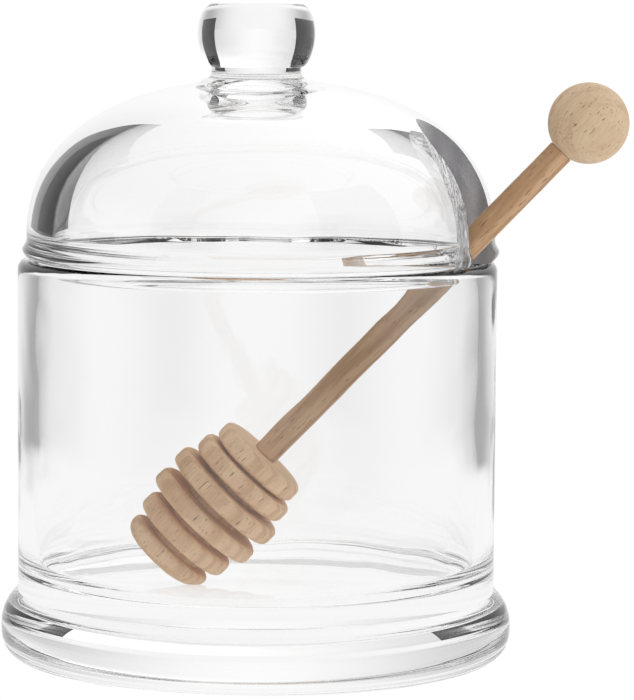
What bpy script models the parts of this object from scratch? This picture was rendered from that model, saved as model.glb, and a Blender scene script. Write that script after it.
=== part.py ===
"""Honey jar with dipper: a clear glass jar, its domed glass lid and a wooden dipper.

World frame, in metres: the origin is the centre of the jar's underside, +Z points up,
-Y faces the viewer and +X is the side where the dipper leaves through the lid's slot.
All driving dimensions below are in millimetres.
"""

import math
from dataclasses import dataclass

import bmesh
import bpy
from mathutils import Matrix, Vector

MM = 0.001
TOUCH_GAP = 0.3
LATHE_SEGMENTS = 56
WOOD_SEGMENTS = 30
SHARP_ANGLE = math.radians(32)


@dataclass(frozen=True)
class JarSize:
    """The jar: a straight cylinder on a wide rounded foot."""

    outer_radius: float = 52.0
    inner_radius: float = 47.8
    rim_height: float = 86.0
    floor_height: float = 17.0
    floor_fillet: float = 5.4
    foot_radius: float = 55.65
    foot_widest_height: float = 6.7
    foot_upper_arc_radius: float = 9.55
    foot_corner_width: float = 5.65
    foot_corner_exponent: float = 2.6


@dataclass(frozen=True)
class LidSize:
    """The lid: a thick dome with a rounded lower edge, a short skirt and a solid knob."""

    offset_x: float = 0.7
    knob_offset_x: float = -0.5
    bead_radius: float = 2.3
    bead_outer_radius: float = 51.7
    dome_radius: float = 50.8
    dome_base_height: float = 90.3
    dome_rise: float = 34.9
    dome_exponent: float = 2.3
    inner_radius: float = 45.4
    inner_base_height: float = 90.6
    inner_rise: float = 29.2
    skirt_outer_radius: float = 46.7
    skirt_inner_radius: float = 43.4
    skirt_depth: float = 3.2
    skirt_chamfer: float = 0.8
    inner_step: float = 3.6
    neck_radius: float = 9.75
    neck_height: float = 127.8
    neck_fillet: float = 1.6
    knob_radius: float = 12.8
    knob_exponent: float = 1.7
    knob_widest_height: float = 134.8
    knob_top_radius: float = 9.4
    knob_top_height: float = 141.5


@dataclass(frozen=True)
class SlotSize:
    """The dipper's slot in the lid: two upright parallel faces and a round inner end."""

    azimuth_deg: float = -22.3
    half_width: float = 7.4
    inner_end_radius: float = 35.6
    end_exponent: float = 1.6
    reach: float = 60.0
    bottom: float = 78.0
    top: float = 130.0


@dataclass(frozen=True)
class DipperSize:
    """The dipper: a grooved head, a straight rod and a ball, on one slanting axis."""

    tip: tuple[float, float, float] = (-20.1, -17.0, 23.15)
    ball_centre: tuple[float, float, float] = (69.57, -21.0, 117.0)
    ball_radius: float = 8.6
    rod_radius: float = 2.8
    head_length: float = 31.6
    core_radius: float = 6.6
    disc_half_thickness: float = 2.05
    disc_edge_radius: float = 1.3
    tip_edge_radius: float = 2.6
    disc_positions: tuple[float, ...] = (2.05, 7.7, 13.4, 19.5, 24.8, 29.55)
    disc_radii: tuple[float, ...] = (10.1, 11.15, 13.05, 13.35, 11.75, 10.35)


JAR = JarSize()
LID = LidSize()
SLOT = SlotSize()
DIPPER = DipperSize()


def arc(centre, radii, start_deg, end_deg, steps, exponent=2.0):
    """Points on an ellipse (or superellipse) from one angle to another, in the (radius, height) plane."""
    points = []
    for step in range(steps + 1):
        angle = math.radians(start_deg + (end_deg - start_deg) * step / steps)
        cosine, sine = math.cos(angle), math.sin(angle)
        across = math.copysign(abs(cosine) ** (2.0 / exponent), cosine)
        upward = math.copysign(abs(sine) ** (2.0 / exponent), sine)
        points.append((centre[0] + radii[0] * across, centre[1] + radii[1] * upward))
    return points


def lathe(name, profile, segments, upper_shift=(math.inf, 0.0)):
    """A closed solid of revolution about Z, from a profile that starts and ends on the axis.

    The solid lies to the profile's left. Rings above the first number of upper_shift are moved
    along X by the second one.
    """
    mesh = bmesh.new()
    rings = []
    shift_height, shift = upper_shift
    for radius, height in profile:
        middle = shift if height > shift_height else 0.0
        if radius < 1e-6:
            rings.append([mesh.verts.new((middle * MM, 0.0, height * MM))])
            continue
        ring = []
        for index in range(segments):
            turn = 2.0 * math.pi * index / segments
            across = middle + radius * math.cos(turn)
            ring.append(mesh.verts.new((across * MM, radius * math.sin(turn) * MM, height * MM)))
        rings.append(ring)
    for lower, upper in zip(rings, rings[1:]):
        for index in range(segments):
            following = (index + 1) % segments
            if len(lower) == 1:
                corners = (lower[0], upper[following], upper[index])
            elif len(upper) == 1:
                corners = (lower[index], lower[following], upper[0])
            else:
                corners = (lower[index], lower[following], upper[following], upper[index])
            mesh.faces.new(corners)
    return object_from(name, mesh)


def object_from(name, mesh):
    """Turns an edited mesh into a scene object of that name."""
    data = bpy.data.meshes.new(name)
    mesh.to_mesh(data)
    mesh.free()
    made = bpy.data.objects.new(name, data)
    bpy.context.scene.collection.objects.link(made)
    return made


def finish(made, colour, roughness):
    """Gives the object its own material and smooth shading with sharp creases."""
    material = bpy.data.materials.new(made.name + "_finish")
    material.use_nodes = True
    shader = material.node_tree.nodes["Principled BSDF"]
    shader.inputs["Base Color"].default_value = (*colour, 1.0)
    shader.inputs["Roughness"].default_value = roughness
    shader.inputs["Metallic"].default_value = 0.0
    made.data.materials.append(material)
    made.data.shade_smooth()
    made.data.set_sharp_from_angle(angle=SHARP_ANGLE)


def jar_profile():
    """Underside centre, foot, outer wall, rounded rim, inner wall and floor."""
    wall = JAR.outer_radius - JAR.inner_radius
    rim_radius = wall / 2.0
    rim_centre = (JAR.outer_radius - rim_radius, JAR.rim_height - rim_radius)
    corner = arc(
        (JAR.foot_radius - JAR.foot_corner_width, JAR.foot_widest_height),
        (JAR.foot_corner_width, JAR.foot_widest_height),
        -90.0,
        0.0,
        9,
        JAR.foot_corner_exponent,
    )
    arc_centre_radius = JAR.foot_radius - JAR.foot_upper_arc_radius
    crease_deg = math.degrees(math.acos((JAR.outer_radius - arc_centre_radius) / JAR.foot_upper_arc_radius))
    shoulder = arc(
        (arc_centre_radius, JAR.foot_widest_height),
        (JAR.foot_upper_arc_radius, JAR.foot_upper_arc_radius),
        0.0,
        crease_deg,
        5,
    )
    rim = arc(rim_centre, (rim_radius, rim_radius), 0.0, 180.0, 8)
    fillet_centre = (JAR.inner_radius - JAR.floor_fillet, JAR.floor_height + JAR.floor_fillet)
    fillet = arc(fillet_centre, (JAR.floor_fillet, JAR.floor_fillet), 0.0, -90.0, 6)
    return [(0.0, 0.0), *corner, *shoulder[1:], *rim, *fillet, (0.0, JAR.floor_height)]


def knob_profile():
    """Neck fillet, neck and the flattened bun of the knob, up to the axis."""
    dome_top = LID.dome_base_height + LID.dome_rise
    fillet = arc(
        (LID.neck_radius + LID.neck_fillet, dome_top + LID.neck_fillet),
        (LID.neck_fillet, LID.neck_fillet),
        270.0,
        180.0,
        3,
    )
    bulge = LID.knob_radius - LID.neck_radius
    lower = arc(
        (LID.neck_radius, LID.knob_widest_height),
        (bulge, LID.knob_widest_height - LID.neck_height),
        -90.0,
        0.0,
        6,
        LID.knob_exponent,
    )
    upper = arc(
        (LID.knob_top_radius, LID.knob_widest_height),
        (LID.knob_radius - LID.knob_top_radius, LID.knob_top_height - LID.knob_widest_height),
        0.0,
        90.0,
        7,
    )
    return [*fillet, *lower, *upper[1:], (0.0, LID.knob_top_height)]


def lid_profile():
    """Inner dome, skirt, rounded lower edge, outer dome, neck and knob."""
    seat = JAR.rim_height + TOUCH_GAP
    skirt_bottom = JAR.rim_height - LID.skirt_depth
    inner = arc(
        (0.0, LID.inner_base_height),
        (LID.inner_radius, LID.inner_rise),
        90.0,
        0.0,
        10,
        LID.dome_exponent,
    )
    skirt = [
        (LID.skirt_inner_radius, LID.inner_base_height - LID.inner_step),
        (LID.skirt_inner_radius, skirt_bottom + LID.skirt_chamfer),
        (LID.skirt_inner_radius + LID.skirt_chamfer, skirt_bottom),
        (LID.skirt_outer_radius - LID.skirt_chamfer, skirt_bottom),
        (LID.skirt_outer_radius, skirt_bottom + LID.skirt_chamfer),
        (LID.skirt_outer_radius, seat),
    ]
    bead_centre = (LID.bead_outer_radius - LID.bead_radius, seat + LID.bead_radius)
    bead = arc(bead_centre, (LID.bead_radius, LID.bead_radius), -90.0, 0.0, 5)
    outer = arc(
        (0.0, LID.dome_base_height),
        (LID.dome_radius, LID.dome_rise),
        0.0,
        90.0,
        12,
        LID.dome_exponent,
    )
    neck_clearance = LID.neck_radius + 2.0 * LID.neck_fillet
    shoulder = [spot for spot in outer if spot[0] > neck_clearance]
    return [*inner, *skirt, *bead, *shoulder, *knob_profile()]


def slot_cutter():
    """The U-shaped upright prism that leaves the slot in the lid."""
    mesh = bmesh.new()
    end_centre = SLOT.inner_end_radius + SLOT.half_width
    outline = [(SLOT.reach, -SLOT.half_width), (SLOT.reach, SLOT.half_width)]
    outline += arc(
        (end_centre, 0.0),
        (SLOT.half_width, SLOT.half_width),
        90.0,
        270.0,
        16,
        SLOT.end_exponent,
    )
    bottom = [mesh.verts.new((along * MM, aside * MM, SLOT.bottom * MM)) for along, aside in outline]
    top = [mesh.verts.new((along * MM, aside * MM, SLOT.top * MM)) for along, aside in outline]
    mesh.faces.new(bottom[::-1])
    mesh.faces.new(top)
    count = len(outline)
    for index in range(count):
        following = (index + 1) % count
        mesh.faces.new((bottom[index], bottom[following], top[following], top[index]))
    turn = Matrix.Rotation(math.radians(SLOT.azimuth_deg), 4, "Z")
    bmesh.ops.transform(mesh, matrix=turn, verts=mesh.verts)
    cutter = object_from("slot_cutter", mesh)
    cutter.hide_render = True
    cutter.display_type = "WIRE"
    return cutter


def build_jar():
    """The glass jar."""
    jar = lathe("jar", jar_profile(), LATHE_SEGMENTS)
    finish(jar, (0.86, 0.9, 0.9), 0.05)


def build_lid():
    """The glass lid with the slot cut through its dome, skirt and lower edge."""
    dome_top = LID.dome_base_height + LID.dome_rise
    knob_shift = LID.knob_offset_x - LID.offset_x
    lid = lathe("lid", lid_profile(), LATHE_SEGMENTS, (dome_top - TOUCH_GAP, knob_shift))
    cutter = slot_cutter()
    shift = Matrix.Translation((LID.offset_x * MM, 0.0, 0.0))
    lid.data.transform(shift)
    cutter.data.transform(shift)
    cut = lid.modifiers.new("slot", "BOOLEAN")
    cut.operation = "DIFFERENCE"
    cut.solver = "EXACT"
    cut.object = cutter
    finish(lid, (0.86, 0.9, 0.9), 0.05)


def disc_profile(position, radius, first_edge):
    """One disc of the head: a flat rim between two rounded edges, the first one towards the tip."""
    start = position - DIPPER.disc_half_thickness
    end = position + DIPPER.disc_half_thickness
    edge = DIPPER.disc_edge_radius
    lower = arc((radius - first_edge, start + first_edge), (first_edge, first_edge), -90.0, 0.0, 3)
    upper = arc((radius - edge, end - edge), (edge, edge), 0.0, 90.0, 3)
    return [*lower, *upper]


def head_profile():
    """Six discs on a core, from the tip to the flat end where the rod starts."""
    points = [(0.0, 0.0)]
    last = len(DIPPER.disc_positions) - 1
    for index, (position, radius) in enumerate(zip(DIPPER.disc_positions, DIPPER.disc_radii)):
        first_edge = DIPPER.tip_edge_radius
        if index > 0:
            first_edge = DIPPER.disc_edge_radius
            points.append((DIPPER.core_radius, position - DIPPER.disc_half_thickness))
        points += disc_profile(position, radius, first_edge)
        if index < last:
            points.append((DIPPER.core_radius, position + DIPPER.disc_half_thickness))
    points.append((0.0, DIPPER.head_length))
    return points


def rod_span():
    """Where the rod starts and ends, measured from the tip."""
    length = (Vector(DIPPER.ball_centre) - Vector(DIPPER.tip)).length
    flat = math.sqrt(DIPPER.ball_radius**2 - DIPPER.rod_radius**2)
    return DIPPER.head_length + TOUCH_GAP, length - flat - TOUCH_GAP


def place_on_axis(made):
    """Moves a piece made about Z, from height 0 at the tip, onto the dipper's slanting axis."""
    tip = Vector(DIPPER.tip)
    direction = (Vector(DIPPER.ball_centre) - tip).normalized()
    turn = direction.to_track_quat("Z", "Y").to_matrix().to_4x4()
    made.data.transform(Matrix.Translation(tip * MM) @ turn)


def build_dipper():
    """Head, rod and ball, each its own piece of wood."""
    head = lathe("dipper_head", head_profile(), WOOD_SEGMENTS)
    place_on_axis(head)
    finish(head, (0.55, 0.33, 0.18), 0.6)

    start, end = rod_span()
    outline = [(0.0, start), (DIPPER.rod_radius, start), (DIPPER.rod_radius, end), (0.0, end)]
    rod = lathe("dipper_rod", outline, WOOD_SEGMENTS)
    place_on_axis(rod)
    finish(rod, (0.5, 0.27, 0.15), 0.6)

    centre = end + TOUCH_GAP + math.sqrt(DIPPER.ball_radius**2 - DIPPER.rod_radius**2)
    flat_deg = math.degrees(math.asin(DIPPER.rod_radius / DIPPER.ball_radius))
    shell = arc(
        (0.0, centre), (DIPPER.ball_radius, DIPPER.ball_radius), flat_deg - 90.0, 90.0, 14
    )
    outline = [(0.0, shell[0][1]), *shell[:-1], (0.0, shell[-1][1])]
    ball = lathe("dipper_ball", outline, WOOD_SEGMENTS)
    place_on_axis(ball)
    finish(ball, (0.62, 0.42, 0.25), 0.6)


def main():
    """Clears the scene and builds every piece."""
    for old in list(bpy.data.objects):
        bpy.data.objects.remove(old, do_unlink=True)
    build_jar()
    build_lid()
    build_dipper()


main()
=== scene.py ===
"""The dressed honey jar with dipper: clear glass jar and lid, turned beech dipper, white studio.

Sizes are in millimetres, as in the part's source, and become metres where a mesh is made.
+Z points up, -Y faces the viewer and the dipper leaves the lid on the +X side.
"""

import logging
import math
from dataclasses import dataclass, field
from enum import Enum
from typing import Any

import bmesh
import bpy
from mathutils import Matrix, Vector


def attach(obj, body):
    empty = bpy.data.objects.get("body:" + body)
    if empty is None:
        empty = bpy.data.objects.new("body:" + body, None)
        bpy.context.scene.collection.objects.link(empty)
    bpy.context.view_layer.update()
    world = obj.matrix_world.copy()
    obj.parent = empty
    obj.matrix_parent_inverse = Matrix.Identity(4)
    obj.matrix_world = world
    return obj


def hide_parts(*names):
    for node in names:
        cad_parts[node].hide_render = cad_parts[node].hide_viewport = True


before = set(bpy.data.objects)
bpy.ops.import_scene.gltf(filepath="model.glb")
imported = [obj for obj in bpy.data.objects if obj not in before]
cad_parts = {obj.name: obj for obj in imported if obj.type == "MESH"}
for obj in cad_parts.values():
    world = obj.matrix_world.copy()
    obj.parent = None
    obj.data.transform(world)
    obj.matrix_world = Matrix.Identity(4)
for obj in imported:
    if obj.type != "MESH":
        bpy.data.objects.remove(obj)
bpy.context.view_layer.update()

MM = 0.001
SHARP_ANGLE = math.radians(32.0)
SAME_SPOT = 1e-4
CALM = 0.3
LOG = logging.getLogger("honey_jar")

Point = tuple[float, float]
Colour = tuple[float, float, float]


def from_screen(red: int, green: int, blue: int) -> Colour:
    """Linear colour of a screen colour given as three numbers from 0 to 255.

    Args:
        red: Red part.
        green: Green part.
        blue: Blue part.

    Returns:
        The linear red, green and blue.
    """
    made = []
    for part in (red, green, blue):
        share = part / 255.0
        made.append(share / 12.92 if share <= 0.04045 else ((share + 0.055) / 1.055) ** 2.4)
    return made[0], made[1], made[2]


class Signal:
    """A node socket's output, which Python's operators combine through Math nodes."""

    def __init__(self, sheet: "NodeSheet", socket: bpy.types.NodeSocket) -> None:
        """Keeps the sheet and the socket that the value comes from."""
        self.sheet = sheet
        self.socket = socket

    def __add__(self, other: "Signal | float") -> "Signal":
        """self + other."""
        return self.sheet.math("ADD", self, other)

    def __radd__(self, other: float) -> "Signal":
        """other + self."""
        return self.sheet.math("ADD", other, self)

    def __sub__(self, other: "Signal | float") -> "Signal":
        """self - other."""
        return self.sheet.math("SUBTRACT", self, other)

    def __rsub__(self, other: float) -> "Signal":
        """other - self."""
        return self.sheet.math("SUBTRACT", other, self)

    def __mul__(self, other: "Signal | float") -> "Signal":
        """self * other."""
        return self.sheet.math("MULTIPLY", self, other)

    def __rmul__(self, other: float) -> "Signal":
        """other * self."""
        return self.sheet.math("MULTIPLY", other, self)

    def __truediv__(self, other: "Signal | float") -> "Signal":
        """self / other."""
        return self.sheet.math("DIVIDE", self, other)

    def __pow__(self, other: "Signal | float") -> "Signal":
        """self raised to other."""
        return self.sheet.math("POWER", self, other)

    def floor(self) -> "Signal":
        """The whole number at or below the value."""
        return self.sheet.math("FLOOR", self)

    def sine(self) -> "Signal":
        """Sine of the value, in radians."""
        return self.sheet.math("SINE", self)

    def cosine(self) -> "Signal":
        """Cosine of the value, in radians."""
        return self.sheet.math("COSINE", self)

    def rise(self, start: float, end: float) -> "Signal":
        """A soft step from 0 to 1.

        Args:
            start: Value where the step begins.
            end: Value where the step is complete, above start.

        Returns:
            The step.
        """
        settings = {"interpolation_type": "SMOOTHSTEP"}
        feeds = {"Value": self, "From Min": start, "From Max": end}
        return Signal(self.sheet, self.sheet.add("ShaderNodeMapRange", settings, feeds).outputs[0])


Feed = Signal | bpy.types.NodeSocket | float | int | tuple[float, ...]


class NodeSheet:
    """Builds one node tree, node by node."""

    def __init__(self, tree: bpy.types.NodeTree) -> None:
        """Takes the tree that the nodes go into."""
        self.tree = tree

    def add(
        self,
        kind: str,
        settings: dict[str, Any] | None = None,
        feeds: dict[str | int, Feed] | None = None,
    ) -> bpy.types.Node:
        """Adds a node.

        Args:
            kind: The node's type.
            settings: Its properties, set first.
            feeds: Values or links for its inputs, by name or number.

        Returns:
            The node.
        """
        node = self.tree.nodes.new(kind)
        for name, value in (settings or {}).items():
            setattr(node, name, value)
        for key, value in (feeds or {}).items():
            self.feed(node.inputs[key], value)
        return node

    def feed(self, socket: bpy.types.NodeSocket, value: Feed) -> None:
        """Links a value to a socket, or sets it there.

        Args:
            socket: The input.
            value: A signal, another node's output, or a plain value.
        """
        if isinstance(value, Signal):
            self.tree.links.new(value.socket, socket)
        elif isinstance(value, bpy.types.NodeSocket):
            self.tree.links.new(value, socket)
        elif isinstance(value, tuple) and socket.type == "RGBA":
            socket.default_value = (*value[:3], 1.0)
        else:
            socket.default_value = value

    def math(self, operation: str, first: Feed, second: Feed = 0.0) -> Signal:
        """One Math node.

        Args:
            operation: The node's operation.
            first: Its first value.
            second: Its second value.

        Returns:
            The result.
        """
        node = self.add("ShaderNodeMath", {"operation": operation}, {0: first, 1: second})
        return Signal(self, node.outputs[0])

    def blend(self, share: Feed, first: Feed, second: Feed) -> bpy.types.NodeSocket:
        """Mixes two colours.

        Args:
            share: How much of the second colour there is, from 0 to 1.
            first: First colour.
            second: Second colour.

        Returns:
            The mixed colour.
        """
        node = self.add("ShaderNodeMix", {"data_type": "RGBA"}, {0: share, 6: first, 7: second})
        return node.outputs[2]

    def vector(self, across: Feed, along: Feed, upward: Feed) -> bpy.types.NodeSocket:
        """A vector of three values."""
        return self.add("ShaderNodeCombineXYZ", None, {0: across, 1: along, 2: upward}).outputs[0]

    def parts(self, vector: Feed) -> tuple[Signal, Signal, Signal]:
        """The three values of a vector."""
        made = self.add("ShaderNodeSeparateXYZ", None, {0: vector}).outputs
        return Signal(self, made[0]), Signal(self, made[1]), Signal(self, made[2])

    def noise(self, vector: Feed, scale: float, detail: float = 2.0, seed: float = 0.0) -> Signal:
        """Soft noise from 0 to 1.

        Args:
            vector: Where it is read.
            scale: Lumps per unit of that vector.
            detail: Finer octaves.
            seed: Which pattern of many.

        Returns:
            The noise.
        """
        feeds = {"Vector": vector, "W": seed, "Scale": scale, "Detail": detail}
        node = self.add("ShaderNodeTexNoise", {"noise_dimensions": "4D"}, feeds)
        return Signal(self, node.outputs[0])


class ShaderSheet(NodeSheet):
    """The node tree of one material, with its surface shader."""

    def __init__(self, name: str) -> None:
        """Makes the material and keeps its Principled shader."""
        self.material = bpy.data.materials.new(name)
        self.material.use_nodes = True
        super().__init__(self.material.node_tree)
        self.shader = self.tree.nodes["Principled BSDF"]
        self.output = self.tree.nodes["Material Output"]

    def set_surface(self, feeds: dict[str, Feed]) -> None:
        """Sets or links inputs of the surface shader."""
        for name, value in feeds.items():
            self.feed(self.shader.inputs[name], value)

    def place(self) -> bpy.types.NodeSocket:
        """The object's own coordinates, in metres."""
        return self.add("ShaderNodeTexCoord").outputs["Object"]

    def bump(self, height: Feed, depth: float) -> bpy.types.NodeSocket:
        """A normal bent by a height.

        Args:
            height: The height, from 0 to 1.
            depth: What a height of 1 measures, in metres.

        Returns:
            The normal.
        """
        feeds = {"Height": height, "Distance": depth, "Strength": 1.0}
        return self.add("ShaderNodeBump", None, feeds).outputs[0]


@dataclass(frozen=True)
class ClearGlass:
    """Polished colourless glass, with slow waves left by the mould and a few dull specks."""

    name: str
    refraction: float = 1.5
    clear_tint: Colour = (1.0, 1.0, 1.0)
    speck_tint: Colour = (0.965, 0.972, 0.972)
    wave_scale: float = 46.0
    wave_depth: float = 0.00006
    wave_seed: float = 3.0
    speck_scale: float = 700.0
    speck_edge: Point = (0.66, 0.78)
    speck_roughness: float = 0.06

    def material(self) -> bpy.types.Material:
        """Builds the material."""
        sheet = ShaderSheet(self.name)
        place = sheet.place()
        specks = sheet.noise(place, self.speck_scale, 3.0).rise(*self.speck_edge)
        waves = sheet.noise(place, self.wave_scale, 0.0, self.wave_seed)
        sheet.set_surface(
            {
                "Base Color": sheet.blend(specks, self.clear_tint, self.speck_tint),
                "Roughness": specks * self.speck_roughness,
                "IOR": self.refraction,
                "Transmission Weight": 1.0,
                "Normal": sheet.bump(waves, self.wave_depth),
            }
        )
        return sheet.material


@dataclass(frozen=True)
class GroundGlass:
    """Glass left dull by the grinding wheel, streaked along the cut."""

    name: str
    refraction: float = 1.5
    light_tint: Colour = from_screen(240, 239, 243)
    dark_tint: Colour = from_screen(204, 202, 209)
    streak_scale: float = 240.0
    streak_stretch: float = 0.25
    streak_edge: Point = (0.3, 0.72)
    grit_scale: float = 2600.0
    grit_seed: float = 5.0
    roughness: float = 0.55
    roughness_swing: float = 0.2
    translucency: float = 0.6
    grit_depth: float = 0.00008
    grit_share: float = 1.0

    def material(self) -> bpy.types.Material:
        """Builds the material."""
        sheet = ShaderSheet(self.name)
        place = sheet.place()
        across, along, upward = sheet.parts(place)
        stretched = sheet.vector(across, along, upward * self.streak_stretch)
        streaks = sheet.noise(stretched, self.streak_scale, 4.0)
        grit = sheet.noise(place, self.grit_scale, 2.0, self.grit_seed)
        tint = sheet.blend(streaks.rise(*self.streak_edge), self.dark_tint, self.light_tint)
        sheet.set_surface(
            {
                "Base Color": tint,
                "Roughness": self.roughness + self.roughness_swing * (grit - 0.5),
                "IOR": self.refraction,
                "Transmission Weight": self.translucency,
                "Normal": sheet.bump(grit * self.grit_share + streaks, self.grit_depth),
            }
        )
        return sheet.material


HONED_GLASS = GroundGlass(
    "slot_honed_glass",
    light_tint=from_screen(252, 252, 253),
    dark_tint=from_screen(236, 236, 240),
    streak_scale=620.0,
    roughness=0.09,
    translucency=1.0,
    grit_depth=0.0009,
    grit_share=0.02,
)


@dataclass(frozen=True)
class Grain:
    """One noise of the wood: lumps per millimetre across and along the blank, octaves and seed."""

    across: float
    along: float
    detail: float
    seed: float

    def noise(self, sheet: NodeSheet, blank: tuple[Signal, Signal, Signal], seed: float) -> Signal:
        """Adds the noise.

        Args:
            sheet: The material's sheet.
            blank: The turned blank's own coordinates, in millimetres.
            seed: The piece of wood.

        Returns:
            The noise, from 0 to 1.
        """
        across, aside, along = blank
        place = sheet.vector(across * self.across, aside * self.across, along * self.along)
        return sheet.noise(place, 1.0, self.detail, seed + self.seed)


SWERVE = Grain(0.1, 0.035, 2.0, 0.0)
FIBRE = Grain(2.2, 0.16, 3.0, 1.0)
DASHES = Grain(2.9, 0.42, 1.0, 2.0)
CLOUDS = Grain(0.16, 0.07, 2.0, 3.0)


class Cut(Enum):
    """How a piece of beech was cut from the plank, which sets the seed of its grain."""

    FLAT = 1.0
    QUARTER = 2.0
    BALL = 3.0


@dataclass(frozen=True)
class Beech:
    """Turned and sanded beech: pale ground, soft year rings, short dark flecks along the grain."""

    name: str
    cut: Cut
    pale: Colour
    deep: Colour
    fleck: Colour = from_screen(132, 92, 62)
    pith: Point = (16.0, -9.0)
    taper: float = 0.05
    ring_spacing: float = 2.6
    ring_waver: float = 5.0
    ring_edge: Point = (0.25, 1.0)
    ring_share: float = 0.45
    fibre_share: float = 0.9
    cloud_share: float = 0.8
    base_tone: float = 0.3
    fleck_edge: Point = (0.63, 0.72)
    fleck_share: float = 0.75
    gloss: float = 0.3
    roughness: float = 0.62
    fibre_roughness: float = 0.25
    fleck_roughness: float = 0.1
    fibre_height: float = 0.6
    fleck_depth: float = 0.8
    grain_depth: float = 0.00007
    cut_seed: float = 7.0

    def material(self) -> bpy.types.Material:
        """Builds the material from the turned blank's own coordinates, in millimetres."""
        sheet = ShaderSheet(self.name)
        kept = sheet.add("ShaderNodeAttribute", {"attribute_name": Lathe.BLANK}).outputs["Vector"]
        across, aside, along = (part * (1.0 / MM) for part in sheet.parts(kept))
        blank = (across, aside, along)
        seed = self.cut.value * self.cut_seed

        swerve = SWERVE.noise(sheet, blank, seed)
        from_pith = (across - self.pith[0], aside - self.pith[1])
        reach = (from_pith[0] * from_pith[0] + from_pith[1] * from_pith[1]) ** 0.5
        bent = reach + self.ring_waver * swerve + self.taper * along
        rings = (bent * (2.0 * math.pi / self.ring_spacing)).sine() * 0.5 + 0.5
        fibre = FIBRE.noise(sheet, blank, seed)
        flecks = DASHES.noise(sheet, blank, seed).rise(*self.fleck_edge)
        clouds = CLOUDS.noise(sheet, blank, seed)

        tone = rings.rise(*self.ring_edge) * self.ring_share + (fibre - 0.5) * self.fibre_share
        tone = tone + (clouds - 0.5) * self.cloud_share + self.base_tone
        ground = sheet.blend(tone.rise(0.0, 1.0), self.pale, self.deep)
        rough = self.roughness + (fibre - 0.5) * self.fibre_roughness
        rough = rough + flecks * self.fleck_roughness
        height = fibre * self.fibre_height - flecks * self.fleck_depth
        sheet.set_surface(
            {
                "Base Color": sheet.blend(flecks * self.fleck_share, ground, self.fleck),
                "Roughness": rough,
                "Specular IOR Level": self.gloss,
                "Normal": sheet.bump(height, self.grain_depth),
            }
        )
        return sheet.material


@dataclass
class Section:
    """Half of a turned body's outline, as radius and height, with how far each point may waver."""

    points: list[Point] = field(default_factory=list)
    waver: list[float] = field(default_factory=list)

    def follow(self, points: list[Point], waver: float = 0.0) -> None:
        """Adds points to the outline's end, leaving out one that repeats the last.

        Args:
            points: Radius and height of each, in millimetres.
            waver: How much of the lathe's waver they take, from 0 to 1.
        """
        for point in points:
            if self.points and math.dist(self.points[-1], point) < SAME_SPOT:
                continue
            self.points.append(point)
            self.waver.append(waver)

    def line_to(self, end: Point, steps: int = 1, waver: float = 0.0) -> None:
        """Adds a straight run from the last point.

        Args:
            end: Where it ends.
            steps: How many spans it has.
            waver: How much of the lathe's waver it takes.
        """
        start = self.points[-1]
        for step in range(1, steps + 1):
            share = step / steps
            spot = (start[0] + (end[0] - start[0]) * share, start[1] + (end[1] - start[1]) * share)
            self.follow([spot], waver)


def arc(
    centre: Point, radii: Point, start: float, end: float, steps: int, exponent: float = 2.0
) -> list[Point]:
    """Points on an ellipse, or on a squarer or rounder one.

    Args:
        centre: Its centre, as radius and height.
        radii: Its half width and half height.
        start: First angle, in degrees.
        end: Last angle, in degrees.
        steps: How many spans the arc has.
        exponent: 2 for an ellipse, more for a squarer curve.

    Returns:
        The points, as radius and height.
    """
    made = []
    for step in range(steps + 1):
        angle = math.radians(start + (end - start) * step / steps)
        cosine, sine = math.cos(angle), math.sin(angle)
        across = math.copysign(abs(cosine) ** (2.0 / exponent), cosine)
        upward = math.copysign(abs(sine) ** (2.0 / exponent), sine)
        made.append((centre[0] + radii[0] * across, centre[1] + radii[1] * upward))
    return made


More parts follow.
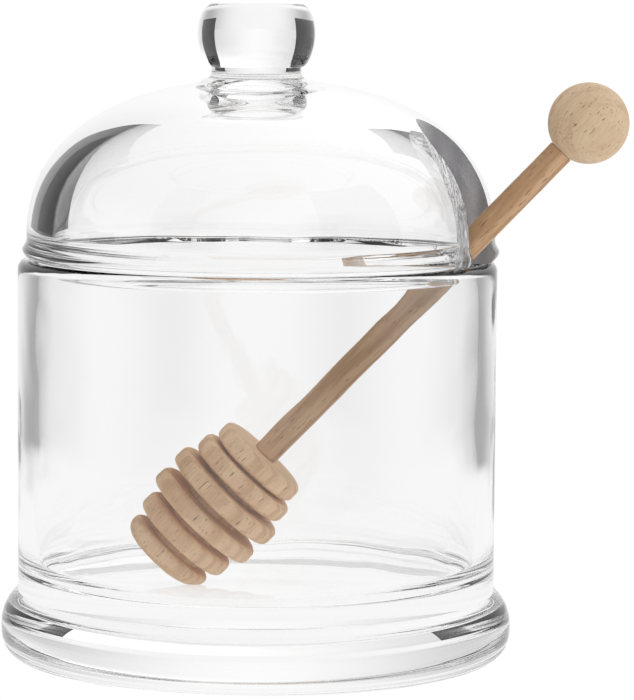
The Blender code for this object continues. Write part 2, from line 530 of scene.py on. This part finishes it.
class Lathe:
    """A Geometry Nodes tree that turns a half section about Z into one closed body."""

    BLANK = "blank"
    WAVER = "waver"
    SEAM = 2e-6
    SOCKETS = (
        ("Section", "NodeSocketGeometry"),
        ("Segments", "NodeSocketInt"),
        ("Waver Depth", "NodeSocketFloat"),
        ("Waver Scale", "NodeSocketFloat"),
        ("Seed", "NodeSocketFloat"),
        ("Material", "NodeSocketMaterial"),
    )

    def __init__(self) -> None:
        """Builds the tree."""
        self.tree = bpy.data.node_groups.new("lathe", "GeometryNodeTree")
        self.keys: dict[str, str] = {}
        for label, kind in self.SOCKETS:
            socket = self.tree.interface.new_socket(name=label, in_out="INPUT", socket_type=kind)
            self.keys[label] = socket.identifier
        geometry = self.SOCKETS[0][1]
        self.tree.interface.new_socket(name="Body", in_out="OUTPUT", socket_type=geometry)
        self._lay_out(NodeSheet(self.tree))

    def _lay_out(self, sheet: NodeSheet) -> None:
        """Adds the nodes: a grid of section points by turns, rolled round the axis and closed.

        Args:
            sheet: The tree's sheet.
        """
        given = sheet.add("NodeGroupInput").outputs
        segments = Signal(sheet, given["Segments"])
        feeds = {0: given["Section"]}
        size = sheet.add("GeometryNodeAttributeDomainSize", {"component": "MESH"}, feeds)
        count = Signal(sheet, size.outputs["Point Count"])
        feeds = {"Vertices X": segments + 1.0, "Vertices Y": count}
        grid = sheet.add("GeometryNodeMeshGrid", None, feeds)
        index = Signal(sheet, sheet.add("GeometryNodeInputIndex").outputs[0])
        turn = ((index + 0.5) / count).floor()
        row = index - turn * count
        angle = turn / segments * (2.0 * math.pi)
        cosine, sine = angle.cosine(), angle.sine()

        here = sheet.add("GeometryNodeInputPosition").outputs[0]
        spot = self._read(sheet, given["Section"], "FLOAT_VECTOR", here, row)
        radius, _, height = sheet.parts(spot)
        feeds = {"Name": self.WAVER}
        named = sheet.add("GeometryNodeInputNamedAttribute", {"data_type": "FLOAT"}, feeds)
        share = Signal(sheet, self._read(sheet, given["Section"], "FLOAT", named.outputs[0], row))
        reading = sheet.vector(radius * cosine, radius * sine, height)
        feeds = {"Vector": reading, "W": given["Seed"], "Detail": 1.0}
        feeds["Scale"] = given["Waver Scale"]
        noise = sheet.add("ShaderNodeTexNoise", {"noise_dimensions": "4D"}, feeds).outputs[0]
        offset = (Signal(sheet, noise) - 0.5) * share * Signal(sheet, given["Waver Depth"])
        wide = radius + offset
        rolled = sheet.vector(wide * cosine, wide * sine, height)

        feeds = {"Geometry": grid.outputs[0], "Position": rolled}
        shape = sheet.add("GeometryNodeSetPosition", None, feeds)
        feeds = {"Geometry": shape.outputs[0], "Distance": self.SEAM}
        joined = sheet.add("GeometryNodeMergeByDistance", None, feeds)
        smooth = sheet.add("GeometryNodeSetShadeSmooth", None, {"Geometry": joined.outputs[0]})
        feeds = {"Geometry": smooth.outputs[0], "Name": self.BLANK, "Value": here}
        kept = sheet.add("GeometryNodeStoreNamedAttribute", {"data_type": "FLOAT_VECTOR"}, feeds)
        whole = sheet.add("GeometryNodeRealizeInstances", None, {"Geometry": kept.outputs[0]})
        feeds = {"Geometry": whole.outputs[0], "Material": given["Material"]}
        dressed = sheet.add("GeometryNodeSetMaterial", None, feeds)
        sheet.add("NodeGroupOutput", None, {0: dressed.outputs[0]})

    @staticmethod
    def _read(
        sheet: NodeSheet, source: Feed, kind: str, value: Feed, row: Signal
    ) -> bpy.types.NodeSocket:
        """Reads a value of the section at one of its points.

        Args:
            sheet: The tree's sheet.
            source: The section.
            kind: The value's type.
            value: The value.
            row: Which point.

        Returns:
            The value there.
        """
        feeds = {"Geometry": source, "Value": value, "Index": row}
        node = sheet.add("GeometryNodeSampleIndex", {"data_type": kind, "domain": "POINT"}, feeds)
        return node.outputs[0]

    def turn(
        self,
        name: str,
        section: Section,
        material: bpy.types.Material,
        segments: int,
        waver: tuple[float, float, float],
    ) -> bpy.types.Object:
        """Turns a section into a closed body about Z.

        Args:
            name: The piece's name.
            section: Its half section.
            material: Its finish.
            segments: How many steps the turn has.
            waver: Depth in millimetres, lumps per metre and seed of its unevenness.

        Returns:
            The piece, with a plain mesh.
        """
        outline = bpy.data.meshes.new(name)
        spots = [(radius * MM, 0.0, height * MM) for radius, height in section.points]
        outline.from_pydata(spots, [(i, i + 1) for i in range(len(spots) - 1)], [])
        shares = outline.attributes.new(self.WAVER, "FLOAT", "POINT")
        shares.data.foreach_set("value", section.waver)
        made = bpy.data.objects.new(name, outline)
        bpy.context.scene.collection.objects.link(made)
        modifier = made.modifiers.new("lathe", "NODES")
        modifier.node_group = self.tree
        values = (segments, waver[0] * MM, waver[1], waver[2], material)
        for (label, _), value in zip(self.SOCKETS[1:], values):
            modifier[self.keys[label]] = value
        settle(made)
        point_outwards(made.data)
        made.data.set_sharp_from_angle(angle=SHARP_ANGLE)
        return made


def settle(made: bpy.types.Object) -> None:
    """Turns an object's modifiers into a plain mesh.

    Args:
        made: The object, which keeps its name.
    """
    bpy.context.view_layer.update()
    graph = bpy.context.evaluated_depsgraph_get()
    ready = made.evaluated_get(graph)
    mesh = bpy.data.meshes.new_from_object(ready, preserve_all_data_layers=True, depsgraph=graph)
    made.modifiers.clear()
    made.data = mesh


def point_outwards(data: bpy.types.Mesh) -> None:
    """Turns every face of a closed mesh round if the mesh is inside out."""
    mesh = bmesh.new()
    mesh.from_mesh(data)
    if mesh.calc_volume(signed=True) < 0.0:
        bmesh.ops.reverse_faces(mesh, faces=mesh.faces)
        mesh.to_mesh(data)
    mesh.free()


def declare(piece: bpy.types.Object, node: str) -> None:
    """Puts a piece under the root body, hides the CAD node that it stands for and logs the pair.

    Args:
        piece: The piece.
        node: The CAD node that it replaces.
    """
    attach(piece, "root")
    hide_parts(node)
    LOG.info("%s stands for %s: %d faces", piece.name, node, len(piece.data.polygons))


@dataclass(frozen=True)
class Jar:
    """The jar: a straight cylinder with a thick base on a wide rounded foot."""

    outer_radius: float = 52.0
    inner_radius: float = 47.8
    rim_height: float = 86.26
    floor_height: float = 17.3
    floor_fillet: float = 5.4
    foot_radius: float = 55.65
    foot_widest_height: float = 6.7
    foot_upper_arc_radius: float = 9.55
    foot_corner_width: float = 5.65
    foot_corner_exponent: float = 2.6
    rim_run: float = 4.0
    floor_calm_radius: float = 8.0
    segments: int = 240
    waver: tuple[float, float, float] = (0.4, 60.0, 4.0)

    def section(self) -> Section:
        """Underside, foot, outer wall, rounded rim, inner wall and floor."""
        made = Section()
        corner_centre = (self.foot_radius - self.foot_corner_width, self.foot_widest_height)
        corner_radii = (self.foot_corner_width, self.foot_widest_height)
        made.follow([(0.0, 0.0)])
        made.line_to((corner_centre[0], 0.0), 10)
        made.follow(arc(corner_centre, corner_radii, -90.0, 0.0, 26, self.foot_corner_exponent))
        bulge = self.foot_upper_arc_radius
        bulge_centre = self.foot_radius - bulge
        crease = math.degrees(math.acos((self.outer_radius - bulge_centre) / bulge))
        made.follow(arc((bulge_centre, self.foot_widest_height), (bulge, bulge), 0.0, crease, 16))
        rim = (self.outer_radius - self.inner_radius) / 2.0
        rim_centre = (self.outer_radius - rim, self.rim_height - rim)
        made.line_to((self.outer_radius, rim_centre[1]), 20)
        made.follow(arc(rim_centre, (rim, rim), 0.0, 180.0, 20))
        low = self.floor_height + self.floor_fillet
        made.line_to((self.inner_radius, self.rim_height - rim - self.rim_run), 2, CALM)
        made.line_to((self.inner_radius, low), 34, 1.0)
        fillet = (self.floor_fillet, self.floor_fillet)
        made.follow(arc((self.inner_radius - self.floor_fillet, low), fillet, 0.0, -90.0, 14), 1.0)
        made.line_to((self.floor_calm_radius, self.floor_height), 16, CALM)
        made.line_to((0.0, self.floor_height), 3)
        return made

    def build(self, lathe: Lathe, glass: bpy.types.Material) -> bpy.types.Object:
        """Turns the jar.

        Args:
            lathe: The lathe.
            glass: Its finish.

        Returns:
            The jar.
        """
        return lathe.turn("clear_jar", self.section(), glass, self.segments, self.waver)

    def dress(self, lathe: Lathe) -> None:
        declare(self.build(lathe, ClearGlass("jar_clear_glass").material()), "jar")


@dataclass(frozen=True)
class Slot:
    """The dipper's slot in the lid: two upright parallel faces and a slightly pointed inner end."""

    azimuth_deg: float = -22.3
    half_width: float = 7.4
    inner_end_radius: float = 35.6
    end_exponent: float = 1.6
    near_share: float = 0.3
    reach: float = 60.0
    bottom: float = 78.0
    top: float = 130.0

    def cutter(self, far: bpy.types.Material, near: bpy.types.Material) -> bpy.types.Object:
        """The upright prism that leaves the slot.

        Args:
            far: The finish of the end and of the far face.
            near: The finish of the face on the viewer's side.

        Returns:
            The prism, about the lid's own axis.
        """
        end_centre = self.inner_end_radius + self.half_width
        outline = [(self.reach, -self.half_width), (self.reach, self.half_width)]
        end_radii = (self.half_width, self.half_width)
        outline += arc((end_centre, 0.0), end_radii, 90.0, 270.0, 40, self.end_exponent)
        mesh = bmesh.new()
        lower = [mesh.verts.new((u * MM, v * MM, self.bottom * MM)) for u, v in outline]
        upper = [mesh.verts.new((u * MM, v * MM, self.top * MM)) for u, v in outline]
        mesh.faces.new(lower[::-1])
        mesh.faces.new(upper)
        near_limit = -self.near_share * self.half_width * MM
        for index in range(len(outline)):
            following = (index + 1) % len(outline)
            side = mesh.faces.new((lower[index], lower[following], upper[following], upper[index]))
            side.material_index = 1 if side.calc_center_median().y < near_limit else 0
        turn = Matrix.Rotation(math.radians(self.azimuth_deg), 4, "Z")
        bmesh.ops.transform(mesh, matrix=turn, verts=mesh.verts)
        data = bpy.data.meshes.new("slot_prism")
        mesh.to_mesh(data)
        mesh.free()
        data.materials.append(far)
        data.materials.append(near)
        made = bpy.data.objects.new("slot_prism", data)
        bpy.context.scene.collection.objects.link(made)
        return made


@dataclass(frozen=True)
class Lid:
    """The lid: a thick dome with a rounded lower edge, a short skirt, a solid knob and the slot."""

    offset_x: float = 0.7
    knob_offset_x: float = -0.5
    knob_margin: float = 0.4
    seat_height: float = 86.3
    bead_radius: float = 2.3
    bead_outer_radius: float = 51.7
    dome_radius: float = 50.8
    dome_base_height: float = 90.3
    dome_rise: float = 34.9
    dome_exponent: float = 2.3
    inner_radius: float = 45.4
    inner_base_height: float = 90.6
    inner_rise: float = 29.2
    skirt_outer_radius: float = 46.7
    skirt_inner_radius: float = 43.4
    skirt_bottom: float = 82.8
    skirt_edge: float = 0.8
    inner_step: float = 3.6
    neck_radius: float = 9.75
    neck_height: float = 127.8
    neck_fillet: float = 1.6
    knob_radius: float = 12.8
    knob_exponent: float = 1.7
    knob_widest_height: float = 134.8
    knob_top_radius: float = 9.4
    knob_top_height: float = 141.5
    slot: Slot = Slot()
    segments: int = 240
    waver: tuple[float, float, float] = (0.2, 45.0, 9.0)

    def _add_knob(self, made: Section) -> None:
        """Adds the neck and the flattened bun of the knob.

        Args:
            made: The section that they continue.
        """
        dome_top = self.dome_base_height + self.dome_rise
        fillet_centre = (self.neck_radius + self.neck_fillet, dome_top + self.neck_fillet)
        made.follow(arc(fillet_centre, (self.neck_fillet, self.neck_fillet), 270.0, 180.0, 10))
        bulge = (self.knob_radius - self.neck_radius, self.knob_widest_height - self.neck_height)
        low_centre = (self.neck_radius, self.knob_widest_height)
        made.follow(arc(low_centre, bulge, -90.0, 0.0, 26, self.knob_exponent))
        top_centre = (self.knob_top_radius, self.knob_widest_height)
        top = (self.knob_radius - top_centre[0], self.knob_top_height - top_centre[1])
        made.follow(arc(top_centre, top, 0.0, 90.0, 26))
        made.line_to((0.0, self.knob_top_height), 8)

    def section(self) -> Section:
        """Inner dome, skirt, rounded lower edge, outer dome, neck and knob."""
        made = Section()
        inner_radii = (self.inner_radius, self.inner_rise)
        inner = arc((0.0, self.inner_base_height), inner_radii, 90.0, 0.0, 60, self.dome_exponent)
        made.follow(inner[:6])
        made.follow(inner[6:], 1.0)
        made.line_to((self.skirt_inner_radius, self.inner_base_height - self.inner_step), 6)
        low, edge = self.skirt_bottom, self.skirt_edge
        made.line_to((self.skirt_inner_radius, low + edge), 3)
        inner_corner = (self.skirt_inner_radius + edge, low + edge)
        outer_corner = (self.skirt_outer_radius - edge, low + edge)
        made.follow(arc(inner_corner, (edge, edge), 180.0, 270.0, 6))
        made.follow(arc(outer_corner, (edge, edge), 270.0, 360.0, 6))
        made.line_to((self.skirt_outer_radius, self.seat_height), 3)
        bead = self.bead_radius
        bead_centre = (self.bead_outer_radius - bead, self.seat_height + bead)
        made.follow(arc(bead_centre, (bead, bead), -90.0, 0.0, 14))
        outer = arc(
            (0.0, self.dome_base_height),
            (self.dome_radius, self.dome_rise),
            0.0,
            90.0,
            84,
            self.dome_exponent,
        )
        made.follow([spot for spot in outer if spot[0] > self.neck_radius + 2.0 * self.neck_fillet])
        self._add_knob(made)
        return made

    def build(
        self,
        lathe: Lathe,
        glass: bpy.types.Material,
        ground: bpy.types.Material,
        honed: bpy.types.Material,
    ) -> bpy.types.Object:
        """Turns the lid and cuts its slot.

        Args:
            lathe: The lathe.
            glass: The finish of the lid.
            ground: The finish of the slot's end and far face.
            honed: The finish of its near face.

        Returns:
            The lid.
        """
        lid = lathe.turn("clear_lid", self.section(), glass, self.segments, self.waver)
        self._shift_knob(lid.data)
        prism = self.slot.cutter(ground, honed)
        cut = lid.modifiers.new("slot", "BOOLEAN")
        cut.operation = "DIFFERENCE"
        cut.solver = "EXACT"
        cut.material_mode = "TRANSFER"
        cut.object = prism
        settle(lid)
        bpy.data.objects.remove(prism, do_unlink=True)
        lid.data.transform(Matrix.Translation((self.offset_x * MM, 0.0, 0.0)))
        lid.data.set_sharp_from_angle(angle=SHARP_ANGLE)
        return lid

    def _shift_knob(self, data: bpy.types.Mesh) -> None:
        """Moves the neck and knob to their own centre, a little beside the dome's.

        They start knob_margin below the dome's top.

        Args:
            data: The turned lid's mesh, about the dome's axis.
        """
        start = (self.dome_base_height + self.dome_rise - self.knob_margin) * MM
        shift = (self.knob_offset_x - self.offset_x) * MM
        for vertex in data.vertices:
            if vertex.co.z > start:
                vertex.co.x += shift

    def dress(self, lathe: Lathe) -> None:
        glass = ClearGlass("lid_clear_glass").material()
        ground = GroundGlass("slot_ground_glass").material()
        honed = HONED_GLASS.material()
        declare(self.build(lathe, glass, ground, honed), "lid")


@dataclass(frozen=True)
class Dipper:
    """The dipper: a grooved head, a straight rod and a ball, on one slanting axis."""

    tip: tuple[float, float, float] = (-20.1, -17.0, 23.15)
    ball_centre: tuple[float, float, float] = (69.57, -21.0, 117.0)
    ball_radius: float = 8.6
    rod_radius: float = 2.8
    rod_edge: float = 0.2
    head_length: float = 31.6
    core_radius: float = 6.6
    disc_half_thickness: float = 2.05
    disc_edge_radius: float = 1.3
    tip_edge_radius: float = 2.6
    disc_positions: tuple[float, ...] = (2.05, 7.7, 13.4, 19.5, 24.8, 29.55)
    disc_radii: tuple[float, ...] = (10.1, 11.15, 13.05, 13.35, 11.75, 10.35)
    joint_gap: float = 0.06
    ball_waver: float = 0.6
    segments: int = 120
    waver: tuple[float, float, float] = (0.16, 160.0, 2.0)

    def head_section(self) -> Section:
        """Six rounded discs on a core, from the tip to the flat end where the rod starts."""
        made = Section()
        made.follow([(0.0, 0.0)])
        last = len(self.disc_positions) - 1
        for index, (position, radius) in enumerate(zip(self.disc_positions, self.disc_radii)):
            start, end = position - self.disc_half_thickness, position + self.disc_half_thickness
            first = self.disc_edge_radius if index else self.tip_edge_radius
            if index:
                made.follow([(self.core_radius, start)], CALM)
            made.follow(arc((radius - first, start + first), (first, first), -90.0, 0.0, 8), 1.0)
            edge = self.disc_edge_radius
            made.follow(arc((radius - edge, end - edge), (edge, edge), 0.0, 90.0, 8), 1.0)
            if index < last:
                made.follow([(self.core_radius, end)], CALM)
        made.line_to((0.0, self.head_length), 6)
        return made

    def rod_section(self) -> Section:
        """The rod, from the head's end to the ball's flat."""
        start, end = self.rod_span()
        edge, radius = self.rod_edge, self.rod_radius
        made = Section()
        made.follow([(0.0, start), (radius - edge, start), (radius, start + edge)])
        made.line_to((radius, end - edge), 60, 1.0)
        made.follow([(radius - edge, end), (0.0, end)])
        return made

    def ball_section(self) -> Section:
        """The ball, flattened where the rod enters it."""
        centre = (0.0, self.length())
        flat_deg = math.degrees(math.asin(self.rod_radius / self.ball_radius))
        shell = arc(centre, (self.ball_radius, self.ball_radius), flat_deg - 90.0, 90.0, 60)
        made = Section()
        made.follow([(0.0, shell[0][1]), shell[0]])
        made.follow(shell[1:-1], self.ball_waver)
        made.follow([(0.0, shell[-1][1])])
        return made

    def length(self) -> float:
        """From the tip to the ball's centre."""
        return (Vector(self.ball_centre) - Vector(self.tip)).length

    def rod_span(self) -> Point:
        """Where the rod starts and ends, measured from the tip."""
        flat = math.sqrt(self.ball_radius**2 - self.rod_radius**2)
        return self.head_length + self.joint_gap, self.length() - flat - self.joint_gap

    def place(self) -> Matrix:
        """The move from a body turned about Z to the dipper's slanting axis."""
        tip = Vector(self.tip)
        direction = (Vector(self.ball_centre) - tip).normalized()
        return Matrix.Translation(tip * MM) @ direction.to_track_quat("Z", "Y").to_matrix().to_4x4()

    def dress(self, lathe: Lathe) -> None:
        pieces = (
            ("beech_head", self.head_section(), HEAD_BEECH, "dipper_head", "head_wood"),
            ("beech_rod", self.rod_section(), ROD_BEECH, "dipper_rod", "rod_wood"),
            ("beech_ball", self.ball_section(), BALL_BEECH, "dipper_ball", "ball_wood"),
        )
        for name, section, finish, node, slot in pieces:
            piece = lathe.turn(name, section, finish.material(), self.segments, self.waver)
            piece.data.transform(self.place())
            declare(piece, node)


HEAD_BEECH = Beech(
    "head_beech",
    Cut.FLAT,
    from_screen(252, 216, 176),
    from_screen(224, 180, 136),
    ring_share=0.35,
)
ROD_BEECH = Beech("rod_beech", Cut.QUARTER, from_screen(222, 185, 147), from_screen(186, 145, 108))
BALL_BEECH = Beech(
    "ball_beech",
    Cut.BALL,
    from_screen(232, 205, 172),
    from_screen(202, 168, 132),
    pith=(38.0, 27.0),
    ring_spacing=3.4,
    ring_waver=1.2,
    ring_share=0.14,
)


def diagonal(across: Signal, depth: Signal) -> Signal:
    """How near a direction is to one of the four diagonals, from 0 straight ahead or aside to 1.

    Args:
        across: Its part along X.
        depth: Its part along Y.

    Returns:
        The share.
    """
    straight = across * across - depth * depth
    length = across * across + depth * depth
    return 1.0 - straight * straight / (length * length + 0.000001)


@dataclass(frozen=True)
class Flag:
    """A dark flag that hangs beyond the jar and draws the glass's edges.

    It hangs so high that a camera that looks down some way hardly sees it through the glass.
    """

    azimuth_deg: float
    width_deg: float
    bottom: float = 82.0
    top: float = 330.0


@dataclass(frozen=True)
class Studio:
    """White floor, white surroundings, dark flags and the camera."""

    camera_place: tuple[float, float, float] = (0.0, -784.0, 148.0)
    pitch_deg: float = 5.94
    yaw_deg: float = 0.95
    roll_deg: float = 0.42
    focal_pixels: float = 3620.0
    image_height: float = 700.0
    sensor: float = 36.0
    clip: Point = (0.02, 20.0)
    seen_level: float = 1.02
    floor_radius: float = 1800.0
    floor_segments: int = 96
    floor_drop: float = 0.35
    floor_level: float = 0.93
    floor_bright_radius: float = 290.0
    floor_fade: float = 1.3
    floor_fall: float = 0.55
    flag_colour: Colour = (0.004, 0.004, 0.005)
    flag_distance: float = 230.0
    flag_steps: int = 8
    flags: tuple[Flag, ...] = (
        Flag(-49.0, 42.0),
        Flag(43.0, 24.0),
        Flag(131.0, 42.0),
        Flag(-137.0, 24.0),
    )
    low_level: float = 0.97
    side_fall: float = 0.34
    sky_edge: Point = (0.12, 0.55)
    sky_level: float = 0.32
    sky_right: float = 0.75
    sky_right_edge: Point = (-0.9, 0.9)
    sky_back: float = 0.35
    sky_back_edge: Point = (-0.8, 0.6)
    inner_fill: float = 0.3
    inner_edge: Point = (0.4, 0.6)

    def add_camera(self) -> None:
        """Puts the camera where the photograph was taken from."""
        yaw, pitch = math.radians(self.yaw_deg), math.radians(self.pitch_deg)
        level = math.cos(pitch)
        ahead = Vector((math.sin(yaw) * level, math.cos(yaw) * level, -math.sin(pitch)))
        right = Vector((math.cos(yaw), -math.sin(yaw), 0.0))
        frame_axes = Matrix((right, right.cross(ahead), -ahead)).transposed()
        turn = frame_axes @ Matrix.Rotation(math.radians(self.roll_deg), 3, "Z")
        data = bpy.data.cameras.new("camera")
        data.sensor_width = self.sensor
        data.lens = self.focal_pixels * self.sensor / self.image_height
        data.clip_start, data.clip_end = self.clip
        camera = bpy.data.objects.new("camera", data)
        bpy.context.scene.collection.objects.link(camera)
        camera.matrix_world = Matrix.Translation(Vector(self.camera_place) * MM) @ turn.to_4x4()
        bpy.context.scene.camera = camera

    def add_floor(self) -> None:
        """A round pale floor just under the jar."""
        mesh = bmesh.new()
        steps, radius = self.floor_segments, self.floor_radius * MM
        bmesh.ops.create_circle(mesh, cap_ends=True, segments=steps, radius=radius)
        made = self._stage_piece("floor", mesh)
        made.data.transform(Matrix.Translation((0.0, 0.0, -self.floor_drop * MM)))
        sheet = ShaderSheet("pale_floor")
        seen = Signal(sheet, sheet.add("ShaderNodeLightPath").outputs["Is Camera Ray"])
        across, depth, _ = sheet.parts(sheet.place())
        reach = (across * across + depth * depth) ** 0.5
        bright = self.floor_bright_radius * MM
        beyond = reach.rise(bright, self.floor_fade * bright)
        share = diagonal(across, depth)
        level = self.floor_level - self.floor_fall * share * share * beyond
        level = level * (1.0 - seen) + self.seen_level * seen
        glow = sheet.add("ShaderNodeEmission", None, {"Strength": level})
        sheet.feed(sheet.output.inputs["Surface"], glow.outputs[0])
        made.data.materials.append(sheet.material)

    def add_flags(self) -> None:
        """The dark flags, which only the glass sees."""
        sheet = ShaderSheet("dark_flag")
        surface = {"Base Color": self.flag_colour, "Roughness": 1.0, "Specular IOR Level": 0.0}
        sheet.set_surface(surface)
        steps, distance = self.flag_steps, self.flag_distance * MM
        for number, flag in enumerate(self.flags):
            mesh = bmesh.new()
            low, high = [], []
            for step in range(steps + 1):
                angle = math.radians(flag.azimuth_deg + flag.width_deg * (step / steps - 0.5))
                spot = (math.sin(angle) * distance, math.cos(angle) * distance)
                low.append(mesh.verts.new((*spot, flag.bottom * MM)))
                high.append(mesh.verts.new((*spot, flag.top * MM)))
            for step in range(steps):
                mesh.faces.new((low[step], low[step + 1], high[step + 1], high[step]))
            made = self._stage_piece(f"dark_flag_{number}", mesh)
            made.data.materials.append(sheet.material)
            made.visible_camera = False
            made.visible_diffuse = False
            made.visible_glossy = False
            made.visible_shadow = False

    @staticmethod
    def _stage_piece(name: str, mesh: bmesh.types.BMesh) -> bpy.types.Object:
        """Turns an edited mesh into a marked piece of the stage.

        Args:
            name: Its name.
            mesh: The edited mesh, which is freed.

        Returns:
            The object.
        """
        data = bpy.data.meshes.new(name)
        mesh.to_mesh(data)
        mesh.free()
        made = bpy.data.objects.new(name, data)
        bpy.context.scene.collection.objects.link(made)
        return made

    def light(self) -> None:
        """Soft white surroundings: dimmer on the diagonals, high up brighter at right and back."""
        world = bpy.data.worlds.new("soft_studio")
        bpy.context.scene.world = world
        world.use_nodes = True
        sheet = NodeSheet(world.node_tree)
        across, depth, upward = sheet.parts(sheet.add("ShaderNodeTexCoord").outputs["Generated"])
        above = upward.rise(*self.sky_edge)
        right = across.rise(*self.sky_right_edge)
        back = depth.rise(*self.sky_back_edge)
        high = self.sky_level + self.sky_right * right + self.sky_back * back
        low = self.low_level - self.side_fall * diagonal(across, depth)
        level = low * (1.0 - above) + high * above
        path = sheet.add("ShaderNodeLightPath").outputs
        bounced = Signal(sheet, path["Diffuse Depth"]).rise(*self.inner_edge)
        through_glass = bounced * (1.0 - Signal(sheet, path["Is Diffuse Ray"]))
        level = level * (1.0 + self.inner_fill * through_glass)
        seen = Signal(sheet, path["Is Camera Ray"])
        shown = seen * self.seen_level + (1.0 - seen) * level
        background = world.node_tree.nodes["Background"]
        sheet.feed(background.inputs["Strength"], shown)
        background.inputs["Color"].default_value = (1.0, 1.0, 1.0, 1.0)

    def set_up(self) -> None:
        """Builds the stage and sets how light is followed and shown."""
        self.add_camera()
        self.add_floor()
        self.add_flags()
        self.light()
        scene = bpy.context.scene
        scene.view_settings.view_transform = "Standard"
        scene.view_settings.look = "None"
        scene.cycles.max_bounces = 24
        scene.cycles.transmission_bounces = 20
        scene.cycles.glossy_bounces = 10
        scene.cycles.diffuse_bounces = 4


def main() -> None:
    """Builds the studio and the pieces in order, and reports them."""
    logging.basicConfig(level=logging.INFO, format="%(name)s: %(message)s")
    Studio().set_up()
    lathe = Lathe()
    Jar().dress(lathe)
    Lid().dress(lathe)
    Dipper().dress(lathe)


if __name__ == "__main__":
    main()
